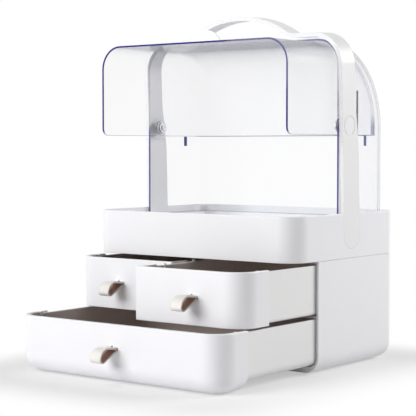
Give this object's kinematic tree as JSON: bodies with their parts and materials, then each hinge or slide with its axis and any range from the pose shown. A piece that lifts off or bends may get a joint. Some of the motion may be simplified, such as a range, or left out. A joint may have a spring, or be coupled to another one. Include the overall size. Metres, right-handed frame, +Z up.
{
  "type": "dustproof makeup organizer",
  "caption": "Free-standing vanity box with sliding drawers, a deep tray, a swing-back clear lid in a fixed clear cover and a carrying handle.",
  "frame": {"origin": "centre of the footprint of tray and cabinet, at the level of the feet's undersides", "axes": "+Z up, -Y towards the drawer fronts, +X to the right seen from the front"},
  "size_m": [0.268, 0.3465, 0.3764],
  "materials": {
    "white_plastic": "satin",
    "clear_acrylic": "polished clear",
    "steel": "bright",
    "foot_rubber": "matte",
    "washer_nylon": "matte",
    "bush_acetal": "matte",
    "taupe_lining": "flocked",
    "pull_leather": "cream grain",
    "clip_nylon": "matte"
  },
  "bodies": {
    "base": {"cabinet_shell": "white_plastic", "mid_shelf": "white_plastic", "centre_partition": "white_plastic", "feet": "foot_rubber", "tray": "white_plastic", "tray_screws": "steel", "handle_frame": "white_plastic", "rear_cover": "clear_acrylic", "pivot_pins": "steel", "pivot_caps": "white_plastic", "friction_washers": "washer_nylon", "pin_retainers": "steel"},
    "lid": {"lid": "clear_acrylic", "lid_tab": "white_plastic", "lid_bushes": "bush_acetal"},
    "lower_drawer": {"lower_drawer_box": "white_plastic", "lower_drawer_front": "white_plastic", "lower_drawer_liner": "taupe_lining", "lower_pull": "pull_leather", "lower_pull_clip": "clip_nylon", "lower_pull_rivet": "steel"},
    "upper_left_drawer": {"upper_left_drawer_box": "white_plastic", "upper_left_drawer_front": "white_plastic", "upper_left_drawer_liner": "taupe_lining", "upper_left_pull": "pull_leather", "upper_left_pull_clip": "clip_nylon", "upper_left_pull_rivet": "steel"},
    "upper_right_drawer": {"upper_right_drawer_box": "white_plastic", "upper_right_drawer_front": "white_plastic", "upper_right_drawer_liner": "taupe_lining", "upper_right_pull": "pull_leather", "upper_right_pull_clip": "clip_nylon", "upper_right_pull_rivet": "steel"}
  },
  "joints": [
    {"name": "lid_hinge", "type": "hinge", "parent": "base", "child": "lid", "pos_m": [0, 0.00197, 0.256], "axis": [1, 0, 0], "range_deg": [0, 90]},
    {"name": "lower_drawer_slide", "type": "slide", "parent": "base", "child": "lower_drawer", "axis": [0, -1, 0], "range_m": [-0.1215, 0.004]},
    {"name": "upper_left_drawer_slide", "type": "slide", "parent": "base", "child": "upper_left_drawer", "axis": [0, -1, 0], "range_m": [-0.029, 0.0965]},
    {"name": "upper_right_drawer_slide", "type": "slide", "parent": "base", "child": "upper_right_drawer", "axis": [0, -1, 0], "range_m": [-0.0868, 0.0387]}
  ]
}
